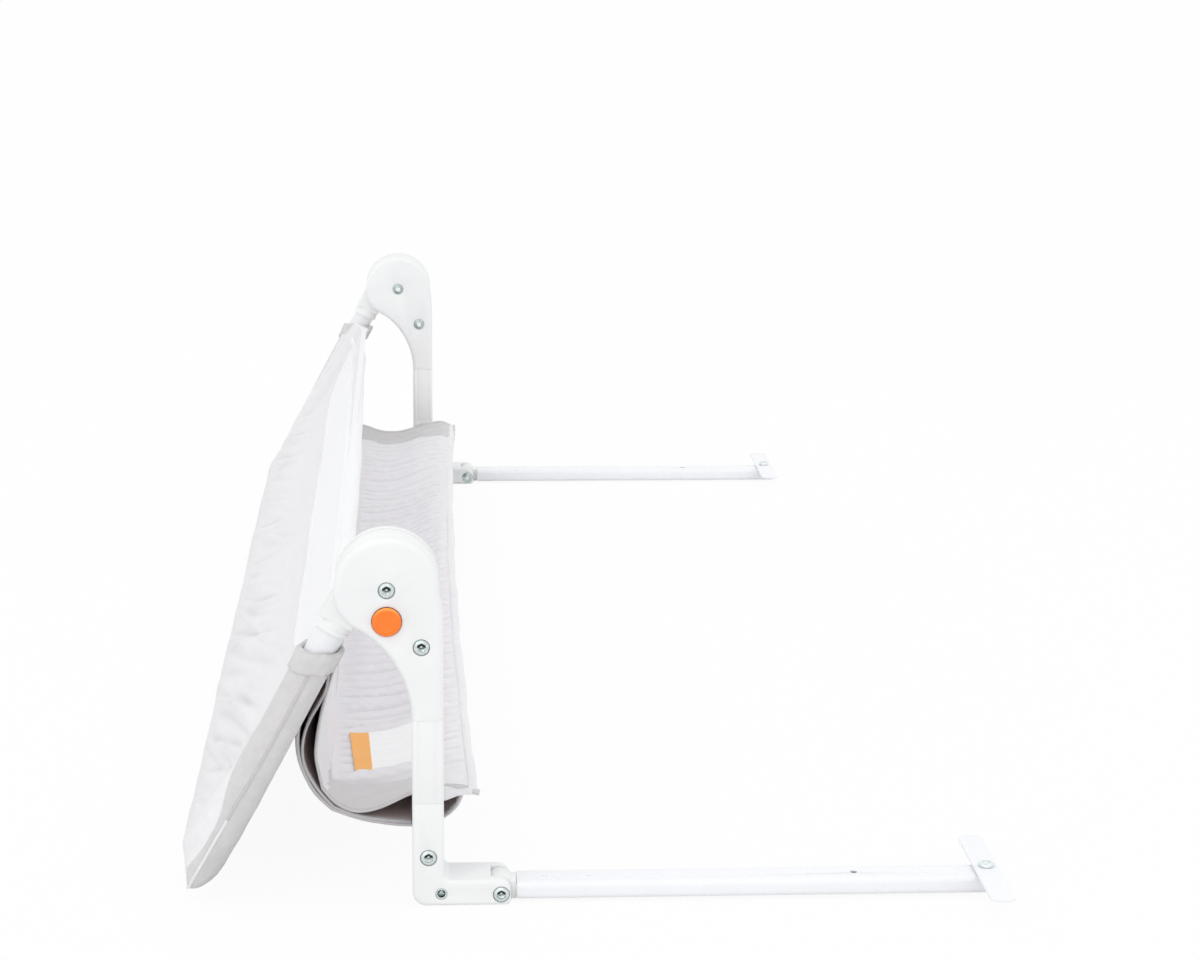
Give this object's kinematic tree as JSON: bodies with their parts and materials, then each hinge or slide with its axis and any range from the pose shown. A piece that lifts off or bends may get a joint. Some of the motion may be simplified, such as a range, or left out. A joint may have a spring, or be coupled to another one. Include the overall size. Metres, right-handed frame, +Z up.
{
  "type": "folding bed guard rail",
  "caption": "Folding bed guard rail: a fabric panel on a tube frame swings down on two push-button hinge legs, with fold-up flat arms that go under the mattress.",
  "frame": {"origin": "centre of the footprint at floor level, at mid length of the rail", "axes": "+X from the fabric panel towards the bed, along the arms; +Y along the rail; +Z up"},
  "size_m": [0.5852, 1.596, 0.2683],
  "materials": {
    "moulded_white": "satin",
    "painted_steel": "satin",
    "painted_tube": "satin",
    "button_orange": "satin",
    "zinc_steel": "satin",
    "spring_steel": "satin",
    "cover_fabric": "matte",
    "trim_fabric": "matte",
    "skirt_lining": "matte",
    "window_netting": "matte"
  },
  "bodies": {
    "legs": {"left_hinge_outer_shell": "moulded_white", "left_hinge_inner_shell": "moulded_white", "left_button_spring": "spring_steel", "left_pivot_bolt": "zinc_steel", "left_pivot_nut": "zinc_steel", "left_neck_bolt": "zinc_steel", "left_neck_nut": "zinc_steel", "left_leg_post": "moulded_white", "left_corner_bracket": "moulded_white", "left_bracket_rivet": "zinc_steel", "left_leg_bolt": "zinc_steel", "left_leg_nut": "zinc_steel", "left_arm_bolt": "zinc_steel", "left_arm_nut": "zinc_steel", "left_hem_tab": "trim_fabric", "left_tab_stud": "zinc_steel", "right_hinge_outer_shell": "moulded_white", "right_hinge_inner_shell": "moulded_white", "right_button_spring": "spring_steel", "right_pivot_bolt": "zinc_steel", "right_pivot_nut": "zinc_steel", "right_neck_bolt": "zinc_steel", "right_neck_nut": "zinc_steel", "right_leg_post": "moulded_white", "right_corner_bracket": "moulded_white", "right_bracket_rivet": "zinc_steel", "right_leg_bolt": "zinc_steel", "right_leg_nut": "zinc_steel", "right_arm_bolt": "zinc_steel", "right_arm_nut": "zinc_steel", "right_hem_tab": "trim_fabric", "right_tab_stud": "zinc_steel", "skirt": "skirt_lining", "skirt_hem_band": "trim_fabric"},
    "panel": {"left_hinge_hub": "moulded_white", "left_frame_bend": "painted_tube", "left_cover_collar": "trim_fabric", "right_hinge_hub": "moulded_white", "right_frame_bend": "painted_tube", "right_cover_collar": "trim_fabric", "frame_bar": "painted_tube", "cover": "cover_fabric", "mesh_window": "window_netting"},
    "left_button": {"left_release_button": "button_orange", "left_lock_pin": "zinc_steel"},
    "left_arm": {"left_arm_tube": "painted_steel", "left_arm_knuckle": "moulded_white", "left_arm_end_plug": "moulded_white", "left_plate_bolt": "zinc_steel", "left_plate_nut": "zinc_steel"},
    "left_plate": {"left_cross_plate": "painted_steel"},
    "right_button": {"right_release_button": "button_orange", "right_lock_pin": "zinc_steel"},
    "right_arm": {"right_arm_tube": "painted_steel", "right_arm_knuckle": "moulded_white", "right_arm_end_plug": "moulded_white", "right_plate_bolt": "zinc_steel", "right_plate_nut": "zinc_steel"},
    "right_plate": {"right_cross_plate": "painted_steel"}
  },
  "joints": [
    {"name": "panel_swing", "type": "hinge", "parent": "legs", "child": "panel", "pos_m": [-0.14973, 0, 0.2315], "axis": [0, 1, 0], "range_deg": [0, 152]},
    {"name": "left_button_press", "type": "slide", "parent": "legs", "child": "left_button", "axis": [0, 1, 0], "range_m": [0, 0.0032], "stiffness_N_per_m": 400, "springref_m": -0.004, "deforming": ["left_button_spring"]},
    {"name": "left_arm_fold", "type": "hinge", "parent": "legs", "child": "left_arm", "pos_m": [-0.06983, -0.727, 0.008], "axis": [0, -1, 0], "range_deg": [0, 90]},
    {"name": "left_plate_swivel", "type": "hinge", "parent": "left_arm", "child": "left_plate", "pos_m": [0.28187, -0.727, 0.0161], "axis": [0, 0, 1], "range_deg": [-90, 90]},
    {"name": "right_button_press", "type": "slide", "parent": "legs", "child": "right_button", "axis": [0, -1, 0], "range_m": [0, 0.0032], "stiffness_N_per_m": 400, "springref_m": -0.004, "deforming": ["right_button_spring"]},
    {"name": "right_arm_fold", "type": "hinge", "parent": "legs", "child": "right_arm", "pos_m": [-0.06983, 0.727, 0.008], "axis": [0, -1, 0], "range_deg": [0, 90]},
    {"name": "right_plate_swivel", "type": "hinge", "parent": "right_arm", "child": "right_plate", "pos_m": [0.28187, 0.727, 0.0161], "axis": [0, 0, 1], "range_deg": [-90, 90]}
  ]
}
